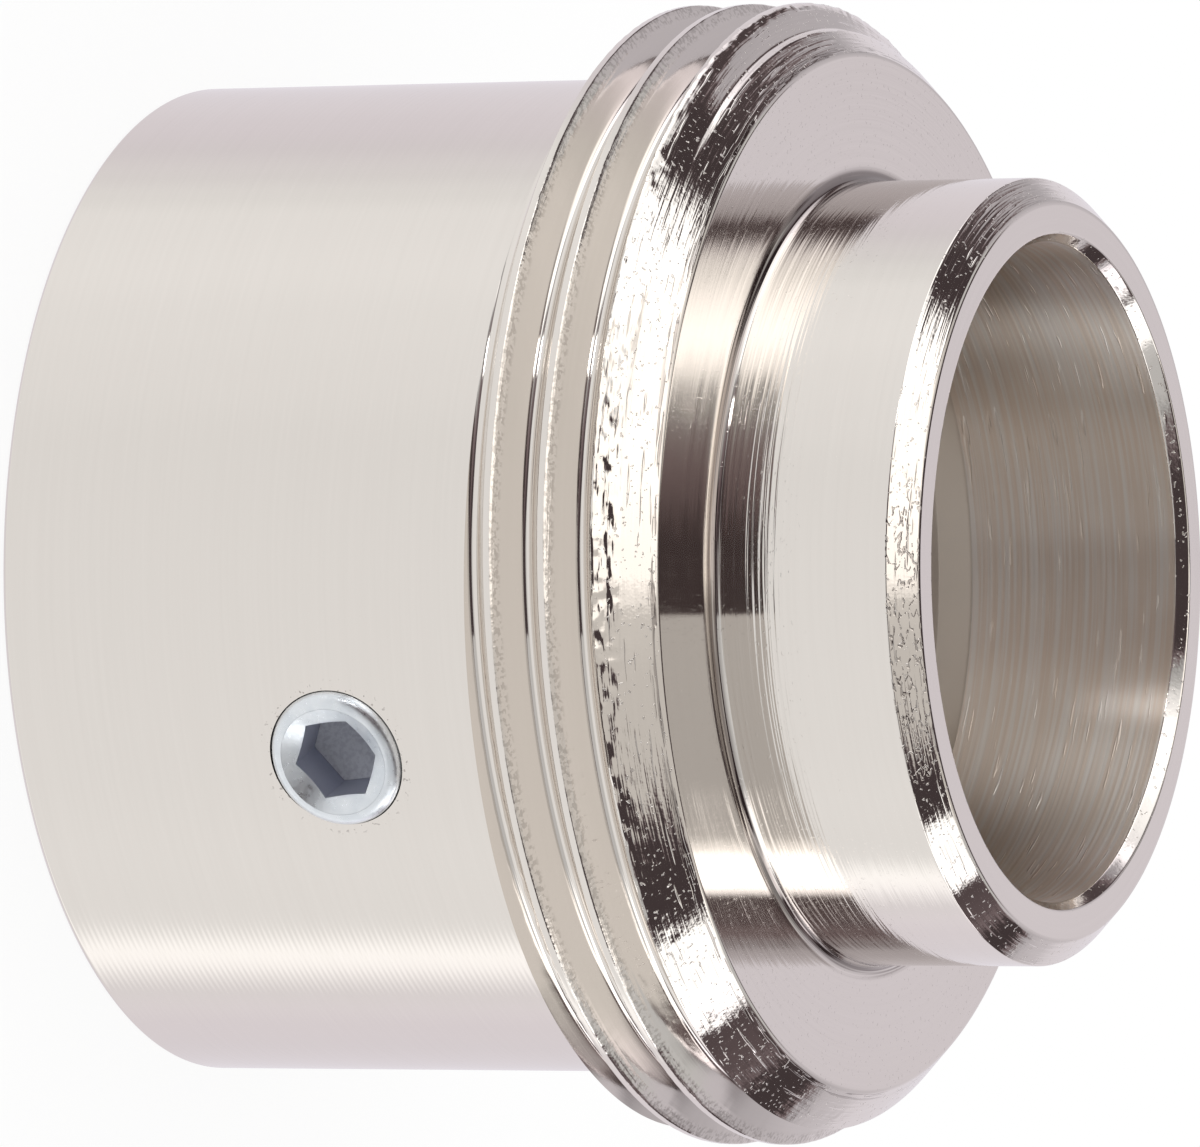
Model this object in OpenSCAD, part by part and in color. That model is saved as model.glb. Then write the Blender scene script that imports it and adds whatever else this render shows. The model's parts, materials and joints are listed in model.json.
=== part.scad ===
// Radiator valve adapter, millimetres.
// A turned and nickel-plated brass bush that stands on the open end of its socket, nose up.
// The socket slips over the neck of a radiator valve, where two grub screws clamp it, and the
// M30 x 1.5 thread on the collar takes the union nut of a thermostatic head.
// The axis is Z, the origin is the middle of the open end, and the first screw faces -Y.

/* [Socket sleeve] */
// Outside diameter of the plain sleeve
sleeve_d = 26; // [25:0.1:27.5]
// Length of the sleeve, from its open end to the collar
sleeve_len = 13.65; // [12.5:0.05:20]
// Bore of the socket, which fits the neck of the valve
socket_d = 20.4; // [19:0.1:21]
// Depth of the straight wall of the socket
socket_depth = 16.4; // [15.5:0.1:17]
// Chamfer round the mouth of the socket
mouth_chamfer = 0.5; // [0.2:0.1:1]
// Broken outer edge at the open end
edge_break = 0.15; // [0.05:0.05:0.5]

/* [Threaded collar] */
// Diameter over the crests of the thread
thread_d = 29.75; // [29.5:0.05:30]
// Pitch of the thread
thread_pitch = 1.5; // [1.25:0.05:1.75]
// Depth of the groove below the crests
thread_depth = 0.85; // [0.6:0.01:0.95]
// Flat at the bottom of the groove
thread_root = 0.33; // [0.1:0.01:0.4]
// Angle between the two flanks of the groove
thread_angle = 60; // [50:1:65]
// Height of the groove, over the open end, where it crosses the azimuth below
thread_z = 15.37; // [14.5:0.01:16]
// Azimuth of that crossing
thread_azimuth = -110.9; // [-180:0.1:180]
// Length of the collar
collar_len = 5.1; // [4.5:0.05:8]
// Chamfer on the nose side, where the thread starts
front_chamfer = 1.375; // [0.9:0.025:1.6]
// Chamfer on the sleeve side
back_chamfer = 0.5; // [0.2:0.05:1]

/* [Nose] */
// Outside diameter of the nose
nose_d = 20.4; // [19.5:0.1:22]
// Length of the nose
nose_len = 5.45; // [4:0.05:10]
// Chamfer round the end of the nose
nose_chamfer = 0.65; // [0.2:0.05:0.8]
// Fillet between the nose and the face of the collar
root_fillet = 0.25; // [0.1:0.05:0.5]
// Bore through the nose
bore_d = 17.1; // [15:0.1:17.5]
// Chamfer round the mouth of the bore
bore_chamfer = 0.3; // [0.1:0.05:0.5]

/* [Grub screws] */
// Diameter of a grub screw, halfway between the crests and the roots of an M4 thread
screw_d = 3.65; // [3.5:0.05:5]
// Length of a grub screw
screw_len = 3; // [2.5:0.1:4]
// Height of the screws over the open end
screw_z = 9.1; // [5:0.1:10]
// Stretch of a screw that stands out of the sleeve
screw_proud = 0.2; // [0:0.05:0.4]
// Rounding of the outer rim of a screw
screw_rim = 0.35; // [0.1:0.05:0.35]
// Chamfer at the clamping end of a screw
screw_point = 0.4; // [0.1:0.05:0.6]
// Radial clearance between a screw and its hole
screw_fit = 0.06; // [0.02:0.01:0.15]
// Width across the flats of the key socket
key_af = 2; // [1.3:0.1:2.2]
// Depth of the key socket down to the end of its flats
key_depth = 1.4; // [0.8:0.1:1.6]
// Diameter of the countersink round the key socket
key_mouth_d = 2.75; // [2.6:0.05:2.8]
// Angle of that countersink
key_mouth_angle = 90; // [60:5:120]
// Angle of the cone that the drill leaves below the key socket
drill_angle = 118; // [90:1:140]

/* [Hidden] */
NODES = ["adapter_body", "grub_screw_1", "grub_screw_2"];
$fn = 96;

sleeve_r = sleeve_d / 2;
socket_r = socket_d / 2;
thread_r = thread_d / 2;
nose_r = nose_d / 2;
bore_r = bore_d / 2;
screw_r = screw_d / 2;

// Heights of the collar and of the end of the nose
collar_z = sleeve_len;
face_z = collar_z + collar_len;
nose_z = face_z + nose_len;

// The shoulder of the socket is a 45 degree cone up to the bore
shoulder_z = socket_depth + socket_r - bore_r;

// The groove of the thread, as a helix that runs out past both ends of the collar
groove_over = 0.3;
groove_steps = 60;
flank = tan(thread_angle / 2);
groove_r = thread_r - thread_depth;
groove_out_r = thread_r + groove_over;
groove_root_w = thread_root / 2;
groove_out_w = groove_root_w + (thread_depth + groove_over) * flank;
first_step = floor((collar_z - thread_pitch - thread_z) / thread_pitch * groove_steps);
last_step = ceil((face_z + thread_pitch - thread_z) / thread_pitch * groove_steps);

// Distance of a screw's point from the axis, when its rim stands just out of the sleeve
point_r = sleeve_r + screw_proud - screw_len;
screw_count = len(NODES) - 1;
screw_turn = 360 / screw_count;
first_screw_azimuth = -90;
cut_over = 1;

// The key socket: its flats, its corners, the cone that the drill leaves and the countersink
flat_r = key_af / 2;
key_r = flat_r / cos(30);
cone_h = flat_r / tan(drill_angle / 2);
mouth_r = key_mouth_d / 2;
mouth_slope = tan(key_mouth_angle / 2);
mouth_h = (mouth_r - flat_r) / mouth_slope;
mouth_over = 0.05;

nickel = "#d9d5cf";
zinc = "#c3cad3";

function azimuth_of_screw(i) = first_screw_azimuth + (i - 1) * screw_turn;

// Half of the body's section, with the radius along X and the height along Y
module body_section() {
    polygon([
        [socket_r + mouth_chamfer, 0],
        [sleeve_r - edge_break, 0],
        [sleeve_r, edge_break],
        [sleeve_r, collar_z],
        [thread_r - back_chamfer, collar_z],
        [thread_r, collar_z + back_chamfer],
        [thread_r, face_z - front_chamfer],
        [thread_r - front_chamfer, face_z],
        [nose_r, face_z],
        [nose_r, nose_z - nose_chamfer],
        [nose_r - nose_chamfer, nose_z],
        [bore_r + bore_chamfer, nose_z],
        [bore_r, nose_z - bore_chamfer],
        [bore_r, shoulder_z],
        [socket_r, socket_depth],
        [socket_r, mouth_chamfer]
    ]);
    translate([nose_r, face_z])
        difference() {
            square(root_fillet);
            translate([root_fillet, root_fillet]) circle(root_fillet);
        }
}

// One section of the groove at a step along the helix: root, root, outside, outside
function groove_ring(step) =
    let (turn = step / groove_steps)
    let (a = thread_azimuth + 360 * turn)
    let (z = thread_z + thread_pitch * turn)
    [
        [groove_r * cos(a), groove_r * sin(a), z - groove_root_w],
        [groove_r * cos(a), groove_r * sin(a), z + groove_root_w],
        [groove_out_r * cos(a), groove_out_r * sin(a), z + groove_out_w],
        [groove_out_r * cos(a), groove_out_r * sin(a), z - groove_out_w]
    ];

// What the threading tool cuts away: a right-hand helix with a flat root
module thread_groove() {
    rings = [for (step = [first_step:last_step]) groove_ring(step)];
    last = len(rings) - 1;
    sides = [
        for (i = [0:last - 1])
        for (k = [0:3])
        let (a = 4 * i + k)
        let (b = 4 * i + (k + 1) % 4)
        each [[a, a + 4, b], [b, a + 4, b + 4]]
    ];
    ends = [[0, 1, 2], [0, 2, 3], [4 * last, 4 * last + 2, 4 * last + 1], [4 * last, 4 * last + 3, 4 * last + 2]];
    polyhedron([for (ring = rings) each ring], concat(sides, ends));
}

// Lays what is drawn along +Z on the line of a screw, starting at a distance from the axis
module at_screw(i, from_r) {
    rotate([0, 0, azimuth_of_screw(i)])
        translate([from_r, 0, screw_z])
            rotate([0, 90, 0])
                children();
}

// The tapped hole of a screw, from inside the socket to outside the sleeve
module screw_hole(i) {
    at_screw(i, socket_r - cut_over)
        cylinder(h = sleeve_r - socket_r + 2 * cut_over, r = screw_r + screw_fit);
}

// The turned brass bush
module adapter_body() {
    color(nickel)
        difference() {
            rotate_extrude() body_section();
            thread_groove();
            for (i = [1:screw_count]) screw_hole(i);
        }
}

// Half of a screw's section, with its point at the bottom and its rounded rim at the top
module screw_section() {
    difference() {
        polygon([
            [0, 0],
            [screw_r - screw_point, 0],
            [screw_r, screw_point],
            [screw_r, screw_len],
            [0, screw_len]
        ]);
        translate([screw_r - screw_rim, screw_len - screw_rim])
            difference() {
                square(screw_rim + cut_over);
                circle(screw_rim);
            }
    }
}

// The hexagonal key socket, countersunk, with the end of the drilled pilot hole below it
module key_socket() {
    translate([0, 0, screw_len - key_depth])
        cylinder(h = key_depth + cut_over, r = key_r, $fn = 6);
    translate([0, 0, screw_len - key_depth - cone_h])
        cylinder(h = cone_h, r1 = 0, r2 = flat_r);
    translate([0, 0, screw_len - mouth_h])
        cylinder(h = mouth_h + mouth_over, r1 = flat_r, r2 = mouth_r + mouth_over * mouth_slope);
}

// A socket set screw with a flat point
module grub_screw(i) {
    color(zinc)
        at_screw(i, point_r)
            difference() {
                rotate_extrude() screw_section();
                key_socket();
            }
}

adapter_body();
grub_screw(1);  // grub_screw_1
grub_screw(2);  // grub_screw_2
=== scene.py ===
# Looks of the radiator valve adapter: a turned, nickel-plated brass bush with two grub screws.
# Lengths are named in millimetres and turned into metres where a mesh is made.

import json
import math

import bmesh
import bpy
import numpy as np
from mathutils import Matrix, Vector, noise


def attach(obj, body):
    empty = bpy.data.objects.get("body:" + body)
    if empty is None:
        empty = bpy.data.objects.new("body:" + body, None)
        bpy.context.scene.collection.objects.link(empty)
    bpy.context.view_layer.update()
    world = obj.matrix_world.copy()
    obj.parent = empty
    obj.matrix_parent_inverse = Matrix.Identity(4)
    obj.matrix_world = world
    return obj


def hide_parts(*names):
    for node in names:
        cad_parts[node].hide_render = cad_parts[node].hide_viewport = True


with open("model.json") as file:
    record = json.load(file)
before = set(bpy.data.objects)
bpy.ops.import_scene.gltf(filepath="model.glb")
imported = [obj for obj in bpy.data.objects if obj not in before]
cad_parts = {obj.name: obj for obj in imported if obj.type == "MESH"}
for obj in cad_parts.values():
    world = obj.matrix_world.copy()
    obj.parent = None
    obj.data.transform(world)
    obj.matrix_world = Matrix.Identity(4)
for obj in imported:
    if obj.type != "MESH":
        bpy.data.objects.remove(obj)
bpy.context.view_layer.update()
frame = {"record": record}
MOUNTS = {mount["name"]: mount for mount in frame["record"]["mounts"]}
MM = 0.001

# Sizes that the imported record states
SOCKET_R = MOUNTS["valve_socket"]["dims"]["r_mm"]
BORE_R = MOUNTS["nose_bore"]["dims"]["r_mm"]
NOSE_R = MOUNTS["nose_spigot"]["dims"]["r_mm"]
THREAD_R = MOUNTS["union_thread"]["dims"]["r_mm"]
COLLAR_LEN = MOUNTS["union_thread"]["dims"]["length_mm"]
FACE_Z = MOUNTS["collar_face"]["pos_m"][2] / MM
NOSE_Z = MOUNTS["nose_face"]["pos_m"][2] / MM
SCREW_Z = MOUNTS["screw_key"]["pos_m"][2] / MM
COLLAR_Z = FACE_Z - COLLAR_LEN

# The body, as in the CAD model
SLEEVE_R = 13
SOCKET_DEPTH = 16.4
MOUTH_CHAMFER = 0.5
EDGE_BREAK = 0.15
FRONT_CHAMFER = 1.375
BACK_CHAMFER = 0.5
NOSE_CHAMFER = 0.65
ROOT_FILLET = 0.25
CONE_Z = SOCKET_DEPTH + SOCKET_R - BORE_R
PITCH = 1.5
GROOVE_DEPTH = 0.85
GROOVE_ROOT = 0.165
FLANK_ANGLE = math.radians(30)
FLANK = math.tan(FLANK_ANGLE)
CREST_EDGE = GROOVE_ROOT + GROOVE_DEPTH * FLANK
THREAD_Z = 15.37
THREAD_AZIMUTH = -110.9

# Finer shapes of the body: its roundings, and the width and height of the chamfer of the bore
EDGE = 0.07
FACE_EDGE = 0.16
OPEN_EDGE = 0.12
BACK_FILLET = 0.1
BORE_EDGE = (0.21, 0.32)

# Finer shapes of the thread: its round root, and how the tool runs in towards the nose
ROOT_R = 0.217
ROOT_ARC = ROOT_R * math.cos(FLANK_ANGLE)
ROOT_LIFT = 2 * ROOT_R - GROOVE_ROOT / FLANK
RUN_IN = 0.383
RUN_IN_TURN = 1.0
CHAMFER_BLEND = 0.06
CREST_BLEND = 0.04

# Torn edges of the collar. The noise of the tears has a size and a seed. An edge has a width, the
# depth of its fine tears and that of its coarse ones, and the sleeve's side has fine tears only.
# Where the thread starts, the edge of the front chamfer is wider, higher and more torn.
FINE_TEAR = (0.2, 3)
COARSE_TEAR = (0.4, 11)
NOSE_SIDE = (0.08, 0.014, 0.012)
NOSE_SIDE_SHIFT = 0.06
SLEEVE_SIDE = (0.05, 0.008)
BACK_EDGE = (0.08, 0.03, 0.02)
FRONT_EDGE = (0.12, 0.07, 0.06)
FRONT_EDGE_LOSS = 0.02
START_FOCUS = 8
START_WIDTH = 0.14
START_HEIGHT = 0.24
START_DEPTH = (0.4, 0.3)

# The screws, as in the CAD model
SCREW_R = 1.825
SCREW_LEN = 3
SCREW_PROUD = 0.2
SCREW_RIM = 0.35
SCREW_POINT = 0.4
KEY_SIDES = 6
KEY_FLAT_R = 1
KEY_DEPTH = 1.4
DRILL_ANGLE = 118
SCREWS = {"grub_screw_1": -90, "grub_screw_2": 90}

# Finer shapes of the screws, the gap round them, and how far each is turned, in degrees
SCREW_GAP = 0.014
SCREW_EDGE = 0.08
KEY_MOUTH_R = 1.45
KEY_MOUTH_ANGLE = 120
KEY_TURNS = {"grub_screw_1": 6, "grub_screw_2": 41}

# How fine the meshes are: vertices in a ring of the body, of its collar and of a screw, steps of a
# rounding, the width of the narrow band beside it and of the widest band, the distance in metres
# below which vertices are one, and the angle from which an edge is sharp
COARSE = 360
FINE = 2 * COARSE
SCREW_SIDES = 96
ARC_STEPS = 4
HOLD = 0.03
LONGEST = 6
SMALLEST = 1e-8
SHARP_ANGLE = math.radians(32)

# Rings on flat faces, where one part of a mesh ends and the next starts
BACK_RING_R = SLEEVE_R + 0.4
BACK_FINE_RING_R = SLEEVE_R + 0.7
FRONT_RING_R = THREAD_R - FRONT_CHAMFER - 0.4
POINT_RING_R = SCREW_R - SCREW_POINT - 0.8
KEY_RING_R = KEY_FLAT_R - 0.1

# Rows of the thread's mesh: steps up its round root, and distances from the edge of a crest
ROOT_STEPS = 5
EDGE_ROWS = (-0.11, -0.06, -0.02, 0.01, 0.04)

# The camera, which has the axis of the part nearly level and the nose to the right. Its angles are
# in degrees, and its distance and the point that it looks at in millimetres.
CAMERA_AZIMUTH = -20.9
CAMERA_ELEVATION = 24.303
CAMERA_ROLL = 0.449
CAMERA_DISTANCE = 367.43
CAMERA_AIM = (10.068, 0.051)
CAMERA_LENS = 414.8
SENSOR = 36


def polar(r, z, azimuth):
    """A point in metres from a radius and a height in millimetres and an azimuth in radians."""
    return (r * math.cos(azimuth) * MM, r * math.sin(azimuth) * MM, z * MM)


def straight(start, end, hold_start, hold_end):
    """Points along a straight stretch of a profile, without its last, and a close pair at a rounding."""
    length = math.dist(start, end)
    marks = [0]
    if hold_start:
        marks.append(HOLD)
    inner = length - HOLD * (hold_start + hold_end)
    count = max(1, math.ceil(inner / LONGEST))
    base = HOLD * hold_start
    marks += [base + inner * i / count for i in range(1, count)]
    if hold_end:
        marks.append(length - HOLD)
    return [tuple(s + (e - s) * m / length for s, e in zip(start, end)) for m in marks]


def arc(before, corner, after, radius):
    """The points of the arc that rounds a corner, from its first tangent point to its last."""
    corner = Vector(corner)
    back = (Vector(before) - corner).normalized()
    on = (Vector(after) - corner).normalized()
    half = back.angle(on) / 2
    centre = corner + (back + on).normalized() * radius / math.sin(half)
    first = corner + back * radius / math.tan(half) - centre
    last = corner + on * radius / math.tan(half) - centre
    swing = first.angle_signed(last)
    turned = [Matrix.Rotation(-swing * i / ARC_STEPS, 2) @ first for i in range(ARC_STEPS + 1)]
    return [tuple(centre + point) for point in turned]


def turned_profile(corners):
    """A polyline through corners given as radius, height and rounding, with each rounding as an arc."""
    points = [corner[:2] for corner in corners]
    arcs = [[points[0]]]
    for before, corner, after in zip(points, corners[1:-1], points[2:]):
        arcs.append(arc(before, corner[:2], after, corner[2]) if corner[2] else [corner[:2]])
    arcs.append([points[-1]])
    line = []
    for here, there in zip(arcs, arcs[1:]):
        line += here[:-1]
        line += straight(here[-1], there[0], len(here) > 1, len(there) > 1)
    return line + [points[-1]]


def body_profile():
    """The turned section outside the thread, from the back face of the collar round to its front face."""
    return turned_profile([
        (BACK_RING_R, COLLAR_Z, 0),
        (SLEEVE_R, COLLAR_Z, BACK_FILLET),
        (SLEEVE_R, EDGE_BREAK, OPEN_EDGE),
        (SLEEVE_R - EDGE_BREAK, 0, OPEN_EDGE),
        (SOCKET_R + MOUTH_CHAMFER, 0, EDGE),
        (SOCKET_R, MOUTH_CHAMFER, EDGE),
        (SOCKET_R, SOCKET_DEPTH, EDGE),
        (BORE_R, CONE_Z, EDGE),
        (BORE_R, NOSE_Z - BORE_EDGE[1], EDGE),
        (BORE_R + BORE_EDGE[0], NOSE_Z, EDGE),
        (NOSE_R - NOSE_CHAMFER, NOSE_Z, FACE_EDGE),
        (NOSE_R, NOSE_Z - NOSE_CHAMFER, EDGE),
        (NOSE_R, FACE_Z, ROOT_FILLET),
        (FRONT_RING_R, FACE_Z, 0),
    ])


def soft_min(a, b, width):
    """The smaller of two heights, blended over a width where they meet."""
    return np.minimum(a, b) - np.maximum(width - np.abs(a - b), 0) ** 2 / (4 * width)


def helix_height(azimuth):
    """Height of the middle of the groove at an azimuth in radians, on its first turn."""
    return THREAD_Z + PITCH * (np.degrees(azimuth) - THREAD_AZIMUTH) / 360


def groove_radius(azimuth, z):
    """Radius of the groove's surface, and the signed distance along the axis from its nearest turn."""
    turns = (z - helix_height(azimuth)) / PITCH
    turn = np.round(turns)
    offset = (turns - turn) * PITCH
    away = np.abs(offset)
    root = ROOT_LIFT - np.sqrt(np.maximum(ROOT_R**2 - away**2, 0))
    side = (away - GROOVE_ROOT) / FLANK
    height = np.where(away < ROOT_ARC, root, side)
    lift = RUN_IN * np.maximum(turn + azimuth / (2 * math.pi) - RUN_IN_TURN, 0)
    return THREAD_R - GROOVE_DEPTH + height + lift, offset


def tears(azimuth, z, size, seed):
    """Smooth noise on the collar, at a size in millimetres, for each vertex of a grid."""
    x = THREAD_R * np.cos(azimuth) / size
    y = THREAD_R * np.sin(azimuth) / size
    flat = zip(x.ravel(), y.ravel(), (z / size).ravel())
    values = [noise.noise(Vector((a, b, c + seed))) for a, b, c in flat]
    return np.array(values).reshape(z.shape)


def bell(distance, width):
    """1 on an edge, and less with the distance from it."""
    return np.exp(-((distance / width) ** 2))


def torn_edges(azimuth, z, offset):
    """What tears add to the radius of the collar, at a distance from the middle of the groove."""
    start = np.maximum(np.cos(azimuth - math.radians(THREAD_AZIMUTH)), 0) ** START_FOCUS
    tall = START_DEPTH[0] + START_DEPTH[1] * start
    nose_side = bell(offset + CREST_EDGE - NOSE_SIDE_SHIFT, NOSE_SIDE[0])
    sleeve_side = bell(offset - CREST_EDGE, SLEEVE_SIDE[0])
    back_edge = bell(z - COLLAR_Z - BACK_CHAMFER, BACK_EDGE[0])
    front = z - FACE_Z + FRONT_CHAMFER - START_HEIGHT * start
    front_edge = bell(front, FRONT_EDGE[0] + START_WIDTH * start)
    fine_depth = NOSE_SIDE[1] * nose_side + SLEEVE_SIDE[1] * sleeve_side + BACK_EDGE[1] * back_edge
    fine_depth += FRONT_EDGE[1] * tall * front_edge
    coarse_depth = NOSE_SIDE[2] * nose_side + BACK_EDGE[2] * back_edge
    coarse_depth += FRONT_EDGE[2] * tall * front_edge
    coarse = tears(azimuth, z, *COARSE_TEAR) * coarse_depth - FRONT_EDGE_LOSS * front_edge
    return tears(azimuth, z, *FINE_TEAR) * fine_depth + coarse


def collar_radius(azimuth, z):
    """Radius of the threaded collar, with the torn edges that the threading tool leaves on the crests."""
    chamfers = soft_min(
        THREAD_R - FRONT_CHAMFER + (FACE_Z - z),
        THREAD_R - BACK_CHAMFER + (z - COLLAR_Z),
        CREST_BLEND,
    )
    outside = soft_min(np.full_like(z, THREAD_R), chamfers, CHAMFER_BLEND)
    groove, offset = groove_radius(azimuth, z)
    threaded = soft_min(outside, groove, CREST_BLEND)
    return np.minimum(threaded + torn_edges(azimuth, z, offset), THREAD_R)


def thread_rows():
    """Distances of the rows of one pitch from the middle of the groove, closest at its root and edges."""
    right = [
        *np.linspace(0, ROOT_ARC, ROOT_STEPS + 1)[1:],
        (ROOT_ARC + CREST_EDGE) / 2,
        *(CREST_EDGE + near for near in EDGE_ROWS),
        PITCH / 2,
    ]
    return np.array([-x for x in reversed(right)] + [0] + right[:-1])


def collar_grid(top):
    """Azimuths, heights and radii of the thread, in rows along the helix that stop at both ends."""
    azimuth = np.arange(FINE) / FINE * 2 * math.pi
    rows = thread_rows()
    low = math.floor((COLLAR_Z - helix_height(2 * math.pi)) / PITCH) - 1
    high = math.ceil((top - helix_height(0)) / PITCH) + 1
    offsets = np.concatenate([rows + PITCH * turn for turn in range(low, high + 1)])
    heights = helix_height(azimuth)[None, :] + offsets[:, None]
    heights = np.clip(heights, COLLAR_Z, top)
    azimuths = np.broadcast_to(azimuth[None, :], heights.shape)
    return azimuths, heights, collar_radius(azimuths, heights), len(rows)


def add_ring(bm, r, z, count):
    """A ring of vertices at one radius and height."""
    return [bm.verts.new(polar(r, z, 2 * math.pi * i / count)) for i in range(count)]


def bridge(bm, lower, upper):
    """Quads between two rings with the same number of vertices."""
    count = len(lower)
    for i in range(count):
        k = (i + 1) % count
        bm.faces.new((lower[i], lower[k], upper[k], upper[i]))


def bridge_to_fine(bm, coarse, fine):
    """Triangles from a ring to one with twice as many vertices."""
    count = len(coarse)
    for i in range(count):
        k = (i + 1) % count
        a, b, c = fine[2 * i], fine[2 * i + 1], fine[2 * k]
        bm.faces.new((coarse[i], a, b))
        bm.faces.new((coarse[i], b, coarse[k]))
        bm.faces.new((coarse[k], b, c))


def add_collar(bm, top):
    """The threaded collar. Its rows follow the helix, so a turn ends one pitch above its start."""
    azimuths, heights, radii, pitch_rows = collar_grid(top)
    rows, columns = heights.shape
    grid = [
        [bm.verts.new(polar(radii[j, i], heights[j, i], azimuths[j, i])) for i in range(columns)]
        for j in range(rows)
    ]
    for j in range(rows - 1):
        for i in range(columns - 1):
            bm.faces.new((grid[j][i], grid[j][i + 1], grid[j + 1][i + 1], grid[j + 1][i]))
        k = j + pitch_rows
        if k < rows - 1:
            bm.faces.new((grid[j][-1], grid[k][0], grid[k + 1][0], grid[j + 1][-1]))
    return grid[0], grid[-1]


def front_edge_z():
    """Height at which the rounded edge of the front face starts on the chamfer of the collar."""
    turn = math.radians(45)
    return FACE_Z - FACE_EDGE * math.tan(turn / 2) * math.sin(turn)


def add_front_edge(bm, ring):
    """The rounded edge between the chamfer of the collar and its face, out of the collar's last ring."""
    corner_r = THREAD_R - FRONT_CHAMFER
    outline = arc((corner_r + 1, FACE_Z - 1), (corner_r, FACE_Z), (corner_r - 1, FACE_Z), FACE_EDGE)
    outline.append((outline[-1][0] - HOLD, FACE_Z))
    last = ring
    for r, z in outline[1:]:
        following = add_ring(bm, r, z, FINE)
        bridge(bm, last, following)
        last = following
    return last


def new_mesh(name, bm):
    """An object from a bmesh, with smooth faces and sharp edges where its surfaces meet."""
    bmesh.ops.recalc_face_normals(bm, faces=bm.faces)
    mesh = bpy.data.meshes.new(name)
    bm.to_mesh(mesh)
    bm.free()
    mesh.shade_smooth()
    mesh.set_sharp_from_angle(angle=SHARP_ANGLE)
    piece = bpy.data.objects.new(name, mesh)
    bpy.context.scene.collection.objects.link(piece)
    return piece


def cut(piece, tools, solver):
    """Cuts tools out of a piece and removes them."""
    for tool in tools:
        boolean = piece.modifiers.new("cut", "BOOLEAN")
        boolean.operation = "DIFFERENCE"
        boolean.solver = solver
        boolean.object = tool
    bpy.context.view_layer.update()
    graph = bpy.context.evaluated_depsgraph_get()
    result = bpy.data.meshes.new_from_object(piece.evaluated_get(graph))
    piece.modifiers.clear()
    old = piece.data
    piece.data = result
    bpy.data.meshes.remove(old)
    for tool in tools:
        bpy.data.objects.remove(tool)
    result.shade_smooth()
    result.set_sharp_from_angle(angle=SHARP_ANGLE)


def revolve(bm, profile, count):
    """Turns a profile round Z into the bmesh and closes its two ends with a face each."""
    rings = [add_ring(bm, r, z, count) for r, z in profile]
    for lower, upper in zip(rings, rings[1:]):
        bridge(bm, lower, upper)
    bm.faces.new(rings[0])
    bm.faces.new(rings[-1])


def lay_on_screw_line(piece, azimuth, start):
    """Turns a mesh drawn along +Z to the line of a screw, starting at a distance from the axis."""
    turn = Matrix.Rotation(math.radians(azimuth), 4, "Z")
    lie = Matrix.Rotation(math.radians(90), 4, "Y")
    place = Matrix.Translation((start * MM, 0, SCREW_Z * MM))
    piece.data.transform(turn @ place @ lie)


def hole_tool(azimuth):
    """A cylinder that cuts the tapped hole of a screw through the wall of the sleeve."""
    bm = bmesh.new()
    over = 1
    r = SCREW_R + SCREW_GAP
    length = SLEEVE_R - SOCKET_R + 2 * over
    revolve(bm, [(r, 0), (r, length)], SCREW_SIDES)
    tool = new_mesh("hole_tool", bm)
    lay_on_screw_line(tool, azimuth, SOCKET_R - over)
    return tool


def make_body():
    """The turned body with its thread and the tapped holes of its screws."""
    bm = bmesh.new()
    first, last = add_collar(bm, front_edge_z())
    rings = [add_ring(bm, r, z, COARSE) for r, z in body_profile()]
    for lower, upper in zip(rings, rings[1:]):
        bridge(bm, lower, upper)
    back = add_ring(bm, BACK_FINE_RING_R, COLLAR_Z, FINE)
    bridge(bm, back, first)
    bridge_to_fine(bm, rings[0], back)
    bridge_to_fine(bm, rings[-1], add_front_edge(bm, last))
    bmesh.ops.remove_doubles(bm, verts=bm.verts, dist=SMALLEST)
    bmesh.ops.dissolve_degenerate(bm, edges=bm.edges, dist=SMALLEST)
    body = new_mesh("turned_body", bm)
    cut(body, [hole_tool(azimuth) for azimuth in SCREWS.values()], "MANIFOLD")
    return body


def screw_profile():
    """The outline of a grub screw from its flat point to the edge of its key socket."""
    cone = (KEY_MOUTH_R - KEY_RING_R) / math.tan(math.radians(KEY_MOUTH_ANGLE / 2))
    return turned_profile([
        (POINT_RING_R, 0, 0),
        (SCREW_R - SCREW_POINT, 0, SCREW_EDGE),
        (SCREW_R, SCREW_POINT, SCREW_EDGE),
        (SCREW_R, SCREW_LEN, SCREW_RIM),
        (KEY_MOUTH_R, SCREW_LEN, 0),
        (KEY_RING_R, SCREW_LEN - cone, 0),
    ])


def key_tool():
    """The hexagonal key socket with the drilled cone below it, as a cutter."""
    bm = bmesh.new()
    over = 1
    corner = KEY_FLAT_R / math.cos(math.pi / KEY_SIDES)
    floor = SCREW_LEN - KEY_DEPTH
    cone = KEY_FLAT_R / math.tan(math.radians(DRILL_ANGLE / 2))
    lower = add_ring(bm, corner, floor, KEY_SIDES)
    upper = add_ring(bm, corner, SCREW_LEN + over, KEY_SIDES)
    bridge(bm, lower, upper)
    bm.faces.new(upper)
    tip = bm.verts.new((0, 0, (floor - cone) * MM))
    for i in range(KEY_SIDES):
        bm.faces.new((tip, lower[(i + 1) % KEY_SIDES], lower[i]))
    return new_mesh("key_tool", bm)


def make_screw(name, azimuth):
    """A socket set screw in its place in the sleeve."""
    bm = bmesh.new()
    revolve(bm, screw_profile(), SCREW_SIDES)
    screw = new_mesh("socket_screw_" + name[-1], bm)
    key = key_tool()
    key.data.transform(Matrix.Rotation(math.radians(KEY_TURNS[name]), 4, "Z"))
    cut(screw, [key], "EXACT")
    lay_on_screw_line(screw, azimuth, SLEEVE_R + SCREW_PROUD - SCREW_LEN)
    return screw


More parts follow.
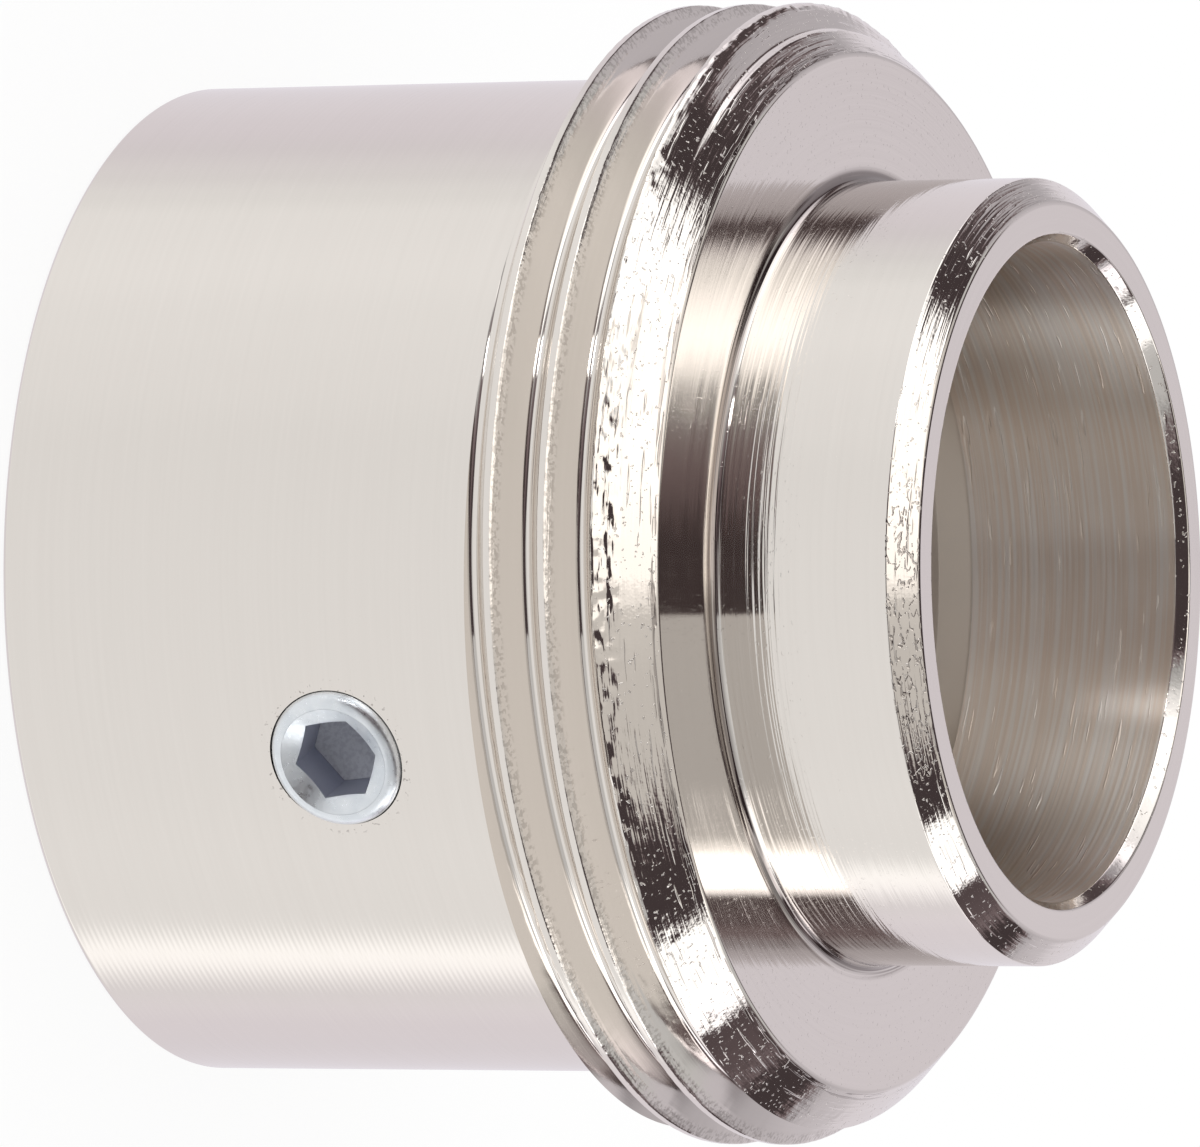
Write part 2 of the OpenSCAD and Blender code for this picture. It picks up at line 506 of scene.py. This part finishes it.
class Graph:
    """A node tree that takes numbers, colours and sockets alike as inputs."""

    def __init__(self, tree):
        self.tree = tree
        tree.nodes.clear()

    def put(self, value, socket):
        """Links a socket, or sets a value."""
        if isinstance(value, bpy.types.NodeSocket):
            self.tree.links.new(value, socket)
        else:
            socket.default_value = value

    def node(self, kind, inputs=None, **settings):
        """A shader node with its settings and inputs."""
        made = self.tree.nodes.new("ShaderNode" + kind)
        for name, value in settings.items():
            setattr(made, name, value)
        for name, value in (inputs or {}).items():
            self.put(value, made.inputs[name])
        return made

    def math(self, operation, *values):
        """The result of a math node."""
        made = self.node("Math", operation=operation)
        for value, socket in zip(values, made.inputs):
            self.put(value, socket)
        return made.outputs[0]

    def total(self, *values):
        """The sum of several values. Plain numbers among them are added here, without a node."""
        sockets = [value for value in values if isinstance(value, bpy.types.NodeSocket)]
        number = sum(value for value in values if value not in sockets)
        for value in sockets:
            number = self.math("ADD", value, number) if number != 0 else value
        return number

    def product(self, *values):
        """The product of several values. Plain numbers among them are multiplied here, without a node."""
        sockets = [value for value in values if isinstance(value, bpy.types.NodeSocket)]
        number = math.prod(value for value in values if value not in sockets)
        for value in sockets:
            number = self.math("MULTIPLY", value, number) if number != 1 else value
        return number

    def rise(self, value, low, high, start=0.0, end=1.0):
        """A smooth step from one value to another between two marks."""
        step = self.node("MapRange", interpolation_type="SMOOTHSTEP")
        names = ("Value", "From Min", "From Max", "To Min", "To Max")
        for name, number in zip(names, (value, low, high, start, end)):
            self.put(number, step.inputs[name])
        return step.outputs[0]

    def fade(self, value, mark, ends):
        """A smooth step from 0 to 1 between two distances from a mark."""
        return self.rise(value, mark + ends[0], mark + ends[1])

    def window(self, value, low, high, soft):
        """1 between two marks and 0 outside them, with soft edges."""
        up = self.rise(value, low - soft, low + soft)
        down = self.rise(value, high - soft, high + soft)
        return self.math("SUBTRACT", up, down)

    def blend(self, share, first, second):
        """A mix of two numbers."""
        mix = self.node("Mix", data_type="FLOAT")
        self.put(share, mix.inputs[0])
        self.put(first, mix.inputs[2])
        self.put(second, mix.inputs[3])
        return mix.outputs[0]

    def tint(self, share, first, second):
        """A mix of two colours."""
        mix = self.node("Mix", data_type="RGBA")
        self.put(share, mix.inputs[0])
        self.put(first, mix.inputs[6])
        self.put(second, mix.inputs[7])
        return mix.outputs[2]

    def vector(self, x, y, z):
        """A vector from three numbers."""
        return self.node("CombineXYZ", {"X": x, "Y": y, "Z": z}).outputs[0]

    def noise(self, vector, scale, detail=2.0, rough=0.5):
        """The value of a noise texture, about 0.5."""
        inputs = {"Vector": vector, "Scale": scale, "Detail": detail, "Roughness": rough}
        return self.node("TexNoise", inputs).outputs[0]


def material(name):
    """A new material and its graph."""
    made = bpy.data.materials.new(name)
    made.use_nodes = True
    return made, Graph(made.node_tree)


class Spot:
    """The place on a turned piece in millimetres, its radius, and a count across the tool marks."""

    def __init__(self, g):
        place = g.node("TexCoord").outputs["Object"]
        split = g.node("SeparateXYZ", {0: place})
        self.x, self.y, self.z = (g.math("MULTIPLY", part, 1 / MM) for part in split.outputs)
        self.r = g.math("SQRT", g.total(g.product(self.x, self.x), g.product(self.y, self.y)))
        self.across = g.math("SUBTRACT", self.z, self.r)


# Patterns on the nickel: how far apart marks are and how long, in millimetres, and the detail of
# their noise, then the spacing of the feed marks and the scale of the grit
MARKS = (0.15, 9, 2)
CHATTER = (0.13, 1.6, 1)
RIBS = (0.34, 0.55, 1)
NOISE_ROUGHNESS = 0.6
FEED = 0.16
GRIT_SCALE = 8

# Levels of a pattern between which what is named sets in
SCRATCHES = (0.66, 0.76)
BEADS = (0.67, 0.72)
SPECKS = (0.63, 0.7)
FRAYS = (0.48, 0.58)
JAGS = (0.5, 0.58)
WORMS = (0.05, 0.01)
WORM_GAPS = (0.42, 0.52)
# The corner streaks are painted shade in the corner at the nose's root
CORNER_SHADE_STREAKS = (0.3, 0.5)
BORE_STREAKS = (0.35, 0.6)

# Distances from an edge or a wall of the body, in millimetres, between which what is named sets in
HOLE_SIDE = (-1, -0.8)
HOLE_RIM = (0.375, 0.125)
CHAMFER_START = (-0.12, 0.02)
JAGS_START = (-0.26, -0.1)
TORN_START = (-0.675, -0.525)
RIM_START = (-0.05, 0.05)
NOSE_CHAMFER_START = (-0.03, 0)
NOSE_CHAMFER_END = (0, -0.01)
MOUTH_START = (0.04, 0)
ROOT_UP = (2.6, 1.2)
ROOT_OUT = (0.6, 0.1)
# The corner distances mark where shade is painted at the nose's root
CORNER_UP = (0.2, 0.08)
CORNER_OUT = (0.42, 0.2)
BORE_START = (-0.15, 0.05)
# The deep distances mark where the socket is painted darker as shade
DEEP_OUT = (0.1, 0.05)
DEEP_UP = (0.05, -0.05)

# Sides on which the body is worn: an azimuth, and cosines of the angle away from it
TORN_SIDE = (-122, 0.92, 0.98)
WORN_SIDE = (-102, 0.9, 0.95)

# The band along the edge of a crest: where it starts and ends, in parts of a pitch, and how softly
CREST_BAND = (-0.01, 0.1, 0.025)

# Heights of the patterns in millimetres
MARKS_HEIGHT = 0.0009
NOSE_MARKS_HEIGHT = 0.004
ROOT_MARKS_HEIGHT = 0.007
BORE_MARKS_HEIGHT = 0.008
SLEEVE_FEED_HEIGHT = 0.0005
ROOT_FEED_HEIGHT = 0.0007
BORE_FEED_HEIGHT = 0.0012
CHATTER_HEIGHT = 0.006
CREST_CHATTER_HEIGHT = 0.008
SCRATCH_HEIGHT = 0.006
BORE_SCRATCH_HEIGHT = 0.03
RIB_HEIGHT = 0.04
PIT_HEIGHT = -0.006
GRIT_HEIGHT = 0.0018
COARSE_GRIT_HEIGHT = 0.006
BEAD_HEIGHT = 0.01
NOSE_BEAD_HEIGHT = 0.001

# Colours of the nickel, and how much of the last two shows
NICKEL = (0.785, 0.74, 0.695, 1)
PALE_NICKEL = (0.82, 0.775, 0.73, 1)
BORE_NICKEL = (0.755, 0.655, 0.57, 1)
# The deep colour is painted shade that darkens the socket far inside
DEEP_PAINTED_SHADE = (0.59, 0.525, 0.46, 1)
FRAYED_NICKEL = (0.4, 0.37, 0.34, 1)
# The dull colour is that of specks, pits and jags, and also painted shade in the corner at the nose's root
DULL_NICKEL_AND_SHADE = (0.3, 0.265, 0.25, 1)
FRAYED_SHARE = 0.45
SPECK_SHARE = 0.6
WORM_SHARE = 0.6
JAG_SHARE = 0.7

# Roughness of the nickel, and what adds to it
PLATED = 0.06
GRIT_ROUGH = 0.03
CREST_ROUGH = 0.05
CHATTER_ROUGH = -0.02
BEAD_ROUGH = 0.25
INSIDE_ROUGH = 0.34
ANISOTROPY = 0.85
INSIDE_ANISOTROPY = 1.0
GRAIN_TURN = 0.25


def tool_marks(g, at, spacing, along, detail):
    """Marks that run round the axis: noise that is fine across them and long along them."""
    vector = g.vector(
        g.math("MULTIPLY", at.x, 1 / along),
        g.math("MULTIPLY", at.y, 1 / along),
        g.math("MULTIPLY", at.across, 1 / spacing),
    )
    return g.noise(vector, 1, detail, NOISE_ROUGHNESS)


def feed_marks(g, at):
    """The even wave that the feed of the tool leaves, from -1 to 1."""
    return g.math("SINE", g.math("MULTIPLY", at.across, 2 * math.pi / FEED))


def fine_grit(g, at):
    """Small grains, as noise about 0.5."""
    return g.noise(g.vector(at.x, at.y, at.z), GRIT_SCALE, 1, NOISE_ROUGHNESS)


def nickel_colour(g, marks):
    """The colour of clean nickel, a little uneven along its marks."""
    return g.tint(marks, NICKEL, PALE_NICKEL)


def off_screw(g, at):
    """Distance from the line of the screws, in millimetres."""
    up = g.math("SUBTRACT", at.z, SCREW_Z)
    return g.math("SQRT", g.total(g.product(at.x, at.x), g.product(up, up)))


def facing(g, at, azimuth, low, high):
    """1 on the side of an azimuth, fading to 0 between two cosines of the angle away from it."""
    way = math.radians(azimuth)
    along = g.total(g.product(at.x, math.cos(way)), g.product(at.y, math.sin(way)))
    return g.rise(g.math("DIVIDE", along, at.r), low, high)


def crest_edge(g, at):
    """1 along the edge of the crests of the thread that faces the nose, with soft sides."""
    turn = g.math("MULTIPLY", g.math("ARCTAN2", at.y, at.x), 1 / (2 * math.pi))
    start = THREAD_Z / PITCH - THREAD_AZIMUTH / 360 - 1
    turns = g.math("SUBTRACT", g.math("SUBTRACT", g.math("MULTIPLY", at.z, 1 / PITCH), turn), start)
    crest = 1 - CREST_EDGE / PITCH
    outer, inner, soft = CREST_BAND
    return g.window(g.math("FRACT", turns), crest + outer, crest + inner, soft)


def sleeve_finish(g, at):
    """The sleeve and the back of the collar: even feed marks, and specks round the holes of the screws."""
    marks = tool_marks(g, at, *MARKS)
    grit = fine_grit(g, at)
    outside = g.fade(g.math("ABSOLUTE", at.y), SLEEVE_R, HOLE_SIDE)
    beside_hole = g.product(outside, g.fade(off_screw(g, at), SCREW_R, HOLE_RIM))
    height = g.total(
        g.product(marks, MARKS_HEIGHT),
        g.product(feed_marks(g, at), SLEEVE_FEED_HEIGHT),
        g.product(grit, beside_hole, COARSE_GRIT_HEIGHT),
    )
    specks = g.product(beside_hole, g.rise(grit, *SPECKS), SPECK_SHARE)
    colour = g.tint(specks, nickel_colour(g, marks), DULL_NICKEL_AND_SHADE)
    return height, colour, g.total(PLATED, g.product(grit, GRIT_ROUGH))


def collar_finish(g, at):
    """The thread: frayed crests, and a scratched and beaded chamfer with a torn spot and a jagged rim."""
    marks = tool_marks(g, at, *MARKS)
    chatter = tool_marks(g, at, *CHATTER)
    ribs = tool_marks(g, at, *RIBS)
    grit = fine_grit(g, at)
    beads = g.rise(grit, *BEADS)
    chamfer = g.fade(at.z, FACE_Z - FRONT_CHAMFER, CHAMFER_START)
    crest = g.product(g.math("SUBTRACT", 1.0, chamfer), crest_edge(g, at))
    torn = g.product(g.fade(at.r, THREAD_R, TORN_START), chamfer, facing(g, at, *TORN_SIDE))
    jags = g.product(g.fade(at.z, FACE_Z, JAGS_START), g.rise(chatter, *JAGS))
    shaken = g.total(g.product(chamfer, CHATTER_HEIGHT), g.product(crest, CREST_CHATTER_HEIGHT))
    gritty = g.total(g.product(chamfer, GRIT_HEIGHT), g.product(crest, COARSE_GRIT_HEIGHT))
    height = g.total(
        g.product(marks, MARKS_HEIGHT),
        g.product(chatter, shaken),
        g.product(g.rise(chatter, *SCRATCHES), chamfer, SCRATCH_HEIGHT),
        g.product(ribs, torn, RIB_HEIGHT),
        g.product(jags, PIT_HEIGHT),
        g.product(grit, gritty),
        g.product(beads, chamfer, BEAD_HEIGHT),
    )
    colour = g.tint(g.product(jags, JAG_SHARE), nickel_colour(g, marks), DULL_NICKEL_AND_SHADE)
    frays = g.product(crest, g.rise(grit, *FRAYS), FRAYED_SHARE)
    colour = g.tint(frays, colour, FRAYED_NICKEL)
    rough = g.total(
        PLATED,
        g.product(grit, GRIT_ROUGH),
        g.product(crest, CREST_ROUGH),
        g.product(chamfer, CHATTER_ROUGH),
        g.product(beads, chamfer, BEAD_ROUGH),
    )
    return height, colour, rough


def front_finish(g, at):
    """The front face and the nose: long marks, streaks at the root with painted shade in its corner, and a
    worn rim with fine pits.
    """
    marks = tool_marks(g, at, *MARKS)
    chatter = tool_marks(g, at, *CHATTER)
    ribs = tool_marks(g, at, *RIBS)
    grit = fine_grit(g, at)
    beads = g.rise(grit, *BEADS)
    outside = g.fade(at.r, NOSE_R - NOSE_CHAMFER, RIM_START)
    chamfer = g.product(
        outside,
        g.fade(at.z, NOSE_Z - NOSE_CHAMFER, NOSE_CHAMFER_START),
        g.fade(at.z, NOSE_Z, NOSE_CHAMFER_END),
    )
    edges = g.total(chamfer, g.fade(at.r, BORE_R + BORE_EDGE[0], MOUTH_START))
    root = g.product(g.fade(at.z, FACE_Z, ROOT_UP), g.fade(at.r, NOSE_R, ROOT_OUT))
    # The corner at the nose's root, where dark streaks are painted as its shade
    corner = g.product(g.fade(at.r, NOSE_R, CORNER_OUT), g.fade(at.z, FACE_Z, CORNER_UP))
    worms = g.product(
        chamfer,
        facing(g, at, *WORN_SIDE),
        g.rise(g.math("ABSOLUTE", g.math("SUBTRACT", ribs, 0.5)), *WORMS),
        g.rise(grit, *WORM_GAPS),
    )
    along = g.total(MARKS_HEIGHT, g.product(outside, NOSE_MARKS_HEIGHT), g.product(root, ROOT_MARKS_HEIGHT))
    height = g.total(
        g.product(marks, along),
        g.product(chatter, edges, CHATTER_HEIGHT),
        g.product(g.rise(chatter, *SCRATCHES), edges, SCRATCH_HEIGHT),
        g.product(worms, PIT_HEIGHT),
        g.product(feed_marks(g, at), root, ROOT_FEED_HEIGHT),
        g.product(grit, edges, GRIT_HEIGHT),
        g.product(beads, g.total(g.product(edges, BEAD_HEIGHT), g.product(outside, NOSE_BEAD_HEIGHT))),
    )
    # Painted shade: dark streaks in the corner at the nose's root, added to the dull colour of the pits
    pits_and_corner_shade = g.total(g.product(corner, g.rise(marks, *CORNER_SHADE_STREAKS)), g.product(worms, WORM_SHARE))
    colour = g.tint(pits_and_corner_shade, nickel_colour(g, marks), DULL_NICKEL_AND_SHADE)
    rough = g.total(
        PLATED,
        g.product(grit, GRIT_ROUGH),
        g.product(edges, CHATTER_ROUGH),
        g.product(beads, edges, BEAD_ROUGH),
    )
    return height, colour, rough


def inside_finish(g, at):
    """The bore and the socket: streaks and long scratches in the bore, and painted shade that darkens the
    socket below it.
    """
    marks = tool_marks(g, at, *MARKS)
    scratches = g.rise(tool_marks(g, at, *CHATTER), *SCRATCHES)
    bore = g.fade(at.z, CONE_Z, BORE_START)
    deep = g.product(g.fade(at.r, SOCKET_R, DEEP_OUT), g.fade(at.z, CONE_Z, DEEP_UP))
    height = g.total(
        g.product(marks, g.total(MARKS_HEIGHT, g.product(bore, BORE_MARKS_HEIGHT))),
        g.product(scratches, bore, BORE_SCRATCH_HEIGHT),
        g.product(feed_marks(g, at), bore, BORE_FEED_HEIGHT),
    )
    streaks = g.product(bore, g.rise(marks, *BORE_STREAKS))
    colour = g.tint(streaks, nickel_colour(g, marks), BORE_NICKEL)
    # Painted shade: the socket below the bore is coloured darker, where shade falls deep inside
    colour = g.tint(deep, colour, DEEP_PAINTED_SHADE)
    rough = g.total(PLATED, g.product(bore, INSIDE_ROUGH), g.product(deep, INSIDE_ROUGH))
    return height, colour, rough


# The zones of the body, each with its own tool marks
FINISHES = {
    "sleeve": sleeve_finish,
    "collar": collar_finish,
    "front": front_finish,
    "inside": inside_finish,
}

# How far a zone reaches past the walls and faces that bound it: the socket, the bore, and both
# faces of the collar
SOCKET_REACH = (0.05, -0.1)
BORE_REACH = (0.08, -0.02)
BACK_REACH = 0.005
FRONT_REACH = -0.05


def nickel(zone):
    """Nickel plating over turned brass in one zone of the body, with the marks that its tool left there."""
    made, g = material("nickel_plating_" + zone)
    height, colour, rough = FINISHES[zone](g, Spot(g))
    bump = g.node("Bump", {"Strength": 1.0, "Distance": MM, "Height": height})
    tangent = g.node("Tangent", direction_type="RADIAL", axis="Z").outputs[0]
    shader = g.node("BsdfPrincipled", {
        "Base Color": colour,
        "Metallic": 1.0,
        "Roughness": rough,
        "Anisotropic": INSIDE_ANISOTROPY if zone == "inside" else ANISOTROPY,
        "Anisotropic Rotation": GRAIN_TURN,
        "Tangent": tangent,
        "Normal": bump.outputs[0],
    })
    g.node("OutputMaterial", {"Surface": shader.outputs[0]})
    return made


def zone_of(centre):
    """The zone that a face of the body is in, from its centre."""
    r = math.hypot(centre.x, centre.y) / MM
    z = centre.z / MM
    in_socket = r < SOCKET_R + SOCKET_REACH[0] and z < FACE_Z + SOCKET_REACH[1]
    in_bore = r < BORE_R + BORE_REACH[0] and z < NOSE_Z - BORE_EDGE[1] + BORE_REACH[1]
    if in_socket or in_bore:
        return "inside"
    if z < COLLAR_Z + BACK_REACH:
        return "sleeve"
    return "front" if z > FACE_Z + FRONT_REACH else "collar"


def plate_body(body):
    """Gives each zone of the body its own nickel, in place of what the cutters left on its faces."""
    body.data.materials.clear()
    for zone in FINISHES:
        body.data.materials.append(nickel(zone))
    order = list(FINISHES)
    for face in body.data.polygons:
        face.material_index = order.index(zone_of(face.center))


# Zinc on the screws: the colours of the outside and the painted shade of the key socket, the scales
# of its grain and of its clouds, the height of both in millimetres, and its roughness
ZINC = (0.72, 0.76, 0.8, 1)
PALE_ZINC = (0.82, 0.85, 0.88, 1)
KEY_SHADE_DARK = (0.34, 0.35, 0.4, 1)
KEY_SHADE_GREY = (0.46, 0.475, 0.52, 1)
KEY_FLOOR_SHADE = (0.66, 0.68, 0.76, 1)
GRAIN_SCALE = 9
CLOUD_SCALE = 1.6
ZINC_HEIGHT = 0.004
ZINC_ROUGH = (0.27, 0.36)
KEY_ROUGH = 0.25

# Where the key socket starts, from the line of the screw and from its end, and where its floor does
KEY_OUT = (1.3, 1.24)
KEY_DOWN = (0.2, 0.3)
KEY_FLOOR_UP = (0, -0.05)

# Levels of grain and clouds between which a colour or a roughness turns into the next
ZINC_LEVELS = (0.3, 0.7)
KEY_LEVELS = (0.35, 0.65)


def zinc():
    """Bright zinc plating on a hardened screw, cooler than the nickel, with painted shade in the key
    socket.
    """
    made, g = material("zinc_plating")
    at = Spot(g)
    depth = g.math("SUBTRACT", SLEEVE_R + SCREW_PROUD, g.math("ABSOLUTE", at.y))
    in_key = g.product(g.rise(off_screw(g, at), *KEY_OUT), g.rise(depth, *KEY_DOWN))
    place = g.vector(at.x, at.y, at.z)
    grain = g.noise(place, GRAIN_SCALE)
    cloud = g.noise(place, CLOUD_SCALE)
    height = g.product(g.total(grain, cloud), ZINC_HEIGHT)
    bump = g.node("Bump", {"Strength": 1.0, "Distance": MM, "Height": height})
    bright = g.tint(g.rise(cloud, *ZINC_LEVELS), ZINC, PALE_ZINC)
    # Painted shade in the key socket: dark mottled walls and a paler floor
    key_shade = g.tint(g.rise(grain, *KEY_LEVELS), KEY_SHADE_DARK, KEY_SHADE_GREY)
    key_shade = g.tint(g.fade(depth, KEY_DEPTH, KEY_FLOOR_UP), key_shade, KEY_FLOOR_SHADE)
    shader = g.node("BsdfPrincipled", {
        "Base Color": g.tint(in_key, bright, key_shade),
        "Metallic": 1.0,
        "Roughness": g.total(g.rise(grain, *ZINC_LEVELS, *ZINC_ROUGH), g.product(in_key, KEY_ROUGH)),
        "Normal": bump.outputs[0],
    })
    g.node("OutputMaterial", {"Surface": shader.outputs[0]})
    return made


# The studio that the metal mirrors, in four rings, one above the other. A ring is a row of bearings
# and levels, at most 32 of them, because a ramp holds no more. Bearings go round the axis in
# degrees, from the camera's side towards the top of the photo. Heights are the upward part of a
# direction. The levels were set from how bright the metal is in the photo at places that
# mirror a direction, and corrected against renders. Where no such place was measured, they are guesses.
OPEN_RING = (
    (-180, 0.78), (-160, 0.77), (-145, 0.77), (-132, 0.79), (-120, 0.83), (-114, 0.82), (-109, 0.96),
    (-104, 1.18), (-99, 1.25), (-95, 1.10), (-91, 0.93), (-86, 0.90), (-70, 0.91), (-45, 0.89), (0, 0.88),
    (30, 0.87), (46, 0.90), (60, 0.92), (75, 0.95), (92, 0.93), (100, 0.87), (108, 0.81), (120, 0.755),
    (132, 0.765), (142, 0.775), (160, 0.77), (180, 0.78),
)
LOW_RING = (
    (-180, 0.73), (-168, 0.62), (-150, 0.5), (-140, 0.34), (-132, 0.18), (-124, 0.1), (-111, 0.08),
    (-107.5, 1.5), (-105, 2.3), (-92, 2.3), (-88, 1.3), (-83, 0.66), (-75, 0.59), (-6, 0.61), (-3, 0.06),
    (12, 0.05), (24, 0.13), (38, 0.19), (45, 0.3), (53, 0.45), (60, 1.2), (74, 1.9), (86, 1.65),
    (96, 1.25), (109, 0.95), (113.5, 0.4), (118, 0.07), (126, 0.06), (133, 0.48), (150, 0.55), (168, 0.6),
    (180, 0.73),
)
HIGH_RING = (
    (-180, 0.6), (-124, 0.6), (-112, 1.2), (-106, 1.6), (-101, 1.5), (-97, 0.05), (26, 0.05),
    (36, 0.5), (46, 1.0), (58, 1.5), (86, 1.8), (93, 1.4), (97, 0.05), (113, 0.05), (121, 0.5),
    (128, 0.63), (180, 0.6),
)
TOP_RING = (
    (-180, 0.63), (-40, 0.62), (-16, 0.68), (-8, 1.0), (0, 1.3), (45, 1.5), (75, 1.4), (95, 0.95),
    (130, 0.65), (180, 0.63),
)

# The height at which the open ring is read as written, then for each ring above it that height, the
# heights between which it takes over from the ring below, and its levels
OPEN_HEIGHT = -0.41
RINGS = (
    (0.41, (-0.12, 0.06), LOW_RING),
    (0.75, (0.56, 0.66), HIGH_RING),
    (0.92, (0.8, 0.845), TOP_RING),
)

# How far the edges of the rings lean, in degrees of bearing for the whole height, and the level
# that a ramp holds as white
SLANT = 55
BRIGHTEST = 2.5

# Cards in front of the rings: from and to which bearing and height and how softly, and the level
CARDS = (
    ((-142, -121, 3), (0.05, 0.37, 0.03), 0.05),
    ((101, 126, 3), (0.5, 0.7, 0.05), 0.05),
    ((158, 190, 6), (0.5, 0.955, 0.03), 0.05),
    ((-190, -158, 6), (0.5, 0.955, 0.03), 0.05),
    ((-165, -137, 3), (0.46, 0.7, 0.03), 0.62),
    ((-11.6, 10, 0.5), (0.2, 0.6, 0.05), 0.05),
    ((-126, -66, 5), (0.15, 0.33, 0.03), 1.7),
    ((43, 50, 1.5), (0.04, 0.2, 0.02), 10),
    ((60, 116, 5), (0.15, 0.33, 0.03), 1.7),
)

# Tints of the studio: behind the part and below a height, high up, and where it is dark
WHITE = (1, 1, 1, 1)
BEHIND_TINT = (1.025, 0.975, 1.04, 1)
BEHIND_START = (-0.1, -0.6)
BEHIND_BELOW = (0.6, 0.5)
HIGH_TINT = (1.07, 1.02, 0.96, 1)
HIGH_START = (0.72, 0.8)
HIGH_SHARE = 0.8
DARK_TINT = (1.22, 0.93, 0.98, 1)
DARK_START = (0.4, 0.1)

# The floor, in millimetres, just below the part, and how it looks: the colour that light meets, and
# the white that the camera sees, with its share
FLOOR_R = 3000
FLOOR_Z = -0.01
FLOOR_SIDES = 64
FLOOR_COLOUR = (0.9, 0.9, 0.9, 1)
FLOOR_WHITE = 1.02
FLOOR_WHITE_SHARE = 0.85


def ring_level(g, bearing, height, ring_height, stops):
    """How bright a ring of the studio is. Its edges lean, as those of softboxes on stands do."""
    lean = g.math("MULTIPLY", g.math("SUBTRACT", height, ring_height), SLANT)
    place = g.math("MULTIPLY_ADD", g.math("ADD", bearing, lean), 1 / 360, 0.5)
    ramp = g.node("ValToRGB", {"Fac": place})
    band = ramp.color_ramp
    band.interpolation = "EASE"
    while len(band.elements) < len(stops):
        band.elements.new(0.5)
    for element, (mark, level) in zip(band.elements, stops):
        element.position = mark / 360 + 0.5
        share = level / BRIGHTEST
        element.color = (share, share, share, 1)
    return g.math("MULTIPLY", ramp.outputs["Color"], BRIGHTEST)


def studio_level(g, bearing, height):
    """How bright the studio is in a direction."""
    level = ring_level(g, bearing, height, OPEN_HEIGHT, OPEN_RING)
    for ring_height, ends, stops in RINGS:
        ring = ring_level(g, bearing, height, ring_height, stops)
        level = g.blend(g.rise(height, *ends), level, ring)
    for across, upward, shade in CARDS:
        card = g.product(g.window(bearing, *across), g.window(height, *upward))
        level = g.blend(card, level, shade)
    return level


def studio_colour(g, towards, height, level):
    """The tint of the studio in a direction, from its part towards the camera, its height and its level."""
    behind = g.product(g.rise(towards, *BEHIND_START), g.rise(height, *BEHIND_BELOW))
    colour = g.tint(behind, WHITE, BEHIND_TINT)
    colour = g.tint(g.product(g.rise(height, *HIGH_START), HIGH_SHARE), colour, HIGH_TINT)
    return g.tint(g.rise(level, *DARK_START), colour, DARK_TINT)


def make_world():
    """A pale studio for what the metal mirrors, and plain white for the camera and for soft light."""
    world = bpy.data.worlds.new("studio")
    world.use_nodes = True
    world.cycles.sampling_method = "NONE"
    bpy.context.scene.world = world
    g = Graph(world.node_tree)
    direction = g.node("TexCoord").outputs["Generated"]
    turn = math.radians(CAMERA_AZIMUTH)
    near = (math.sin(turn), -math.cos(turn), 0)
    up = (-math.cos(turn), -math.sin(turn), 0)
    towards = g.node("VectorMath", {0: direction, 1: near}, operation="DOT_PRODUCT").outputs["Value"]
    aside = g.node("VectorMath", {0: direction, 1: up}, operation="DOT_PRODUCT").outputs["Value"]
    bearing = g.math("DEGREES", g.math("ARCTAN2", aside, towards))
    height = g.node("SeparateXYZ", {0: direction}).outputs[2]
    level = studio_level(g, bearing, height)
    colour = studio_colour(g, towards, height, level)
    mirrored = g.node("Background", {"Color": colour, "Strength": level}).outputs[0]
    plain = g.node("Background", {"Color": WHITE, "Strength": 1.0}).outputs[0]
    glossy = g.node("LightPath").outputs["Is Glossy Ray"]
    mixed = g.node("MixShader", {0: glossy, 1: plain, 2: mirrored}).outputs[0]
    g.node("OutputWorld", {"Surface": mixed})


def make_floor():
    """A white floor that keeps a faint shadow of the part."""
    bm = bmesh.new()
    bm.faces.new(add_ring(bm, FLOOR_R, FLOOR_Z, FLOOR_SIDES))
    floor = new_mesh("floor", bm)
    floor.visible_glossy = False
    made, g = material("floor_white")
    lit = g.node("BsdfDiffuse", {"Color": FLOOR_COLOUR}).outputs[0]
    white = g.node("Emission", {"Color": WHITE, "Strength": FLOOR_WHITE}).outputs[0]
    seen = g.node("LightPath").outputs["Is Camera Ray"]
    share = g.math("MULTIPLY", seen, FLOOR_WHITE_SHARE)
    mixed = g.node("MixShader", {0: share, 1: lit, 2: white}).outputs[0]
    g.node("OutputMaterial", {"Surface": mixed})
    floor.data.materials.append(made)


def make_camera():
    """The photo's camera, which looks down at the nose and is turned so that the nose is to the right."""
    azimuth = math.radians(CAMERA_AZIMUTH)
    elevation = math.radians(CAMERA_ELEVATION)
    level = Vector((math.sin(azimuth), -math.cos(azimuth), 0))
    axis = Vector((0, 0, 1))
    towards = level * math.cos(elevation) + axis * math.sin(elevation)
    right = axis * math.cos(elevation) - level * math.sin(elevation)
    up = towards.cross(right)
    place = right * CAMERA_AIM[0] + up * CAMERA_AIM[1] + towards * CAMERA_DISTANCE
    roll = Matrix.Rotation(math.radians(-CAMERA_ROLL), 3, towards)
    basis = Matrix((roll @ right, roll @ up, towards)).transposed()
    data = bpy.data.cameras.new("camera")
    data.sensor_width = SENSOR
    data.lens = CAMERA_LENS
    data.clip_start = 0.01
    data.clip_end = 10
    camera = bpy.data.objects.new("camera", data)
    camera.matrix_world = Matrix.Translation(place * MM) @ basis.to_4x4()
    bpy.context.scene.collection.objects.link(camera)
    bpy.context.scene.camera = camera


def finish_piece(piece, node):
    """Ties a piece to the body and lets it stand for its CAD node."""
    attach(piece, "root")
    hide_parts(node)


def corners(box):
    """The two corners of a box as plain lists."""
    return [list(corner) for corner in box]


bpy.context.scene.view_settings.view_transform = "Standard"
make_camera()
make_world()
make_floor()
body = make_body()
plate_body(body)
finish_piece(body, "adapter_body")
screw_finish = zinc()
for node_name, screw_azimuth in SCREWS.items():
    screw = make_screw(node_name, screw_azimuth)
    screw.data.materials.clear()
    screw.data.materials.append(screw_finish)
    finish_piece(screw, node_name)
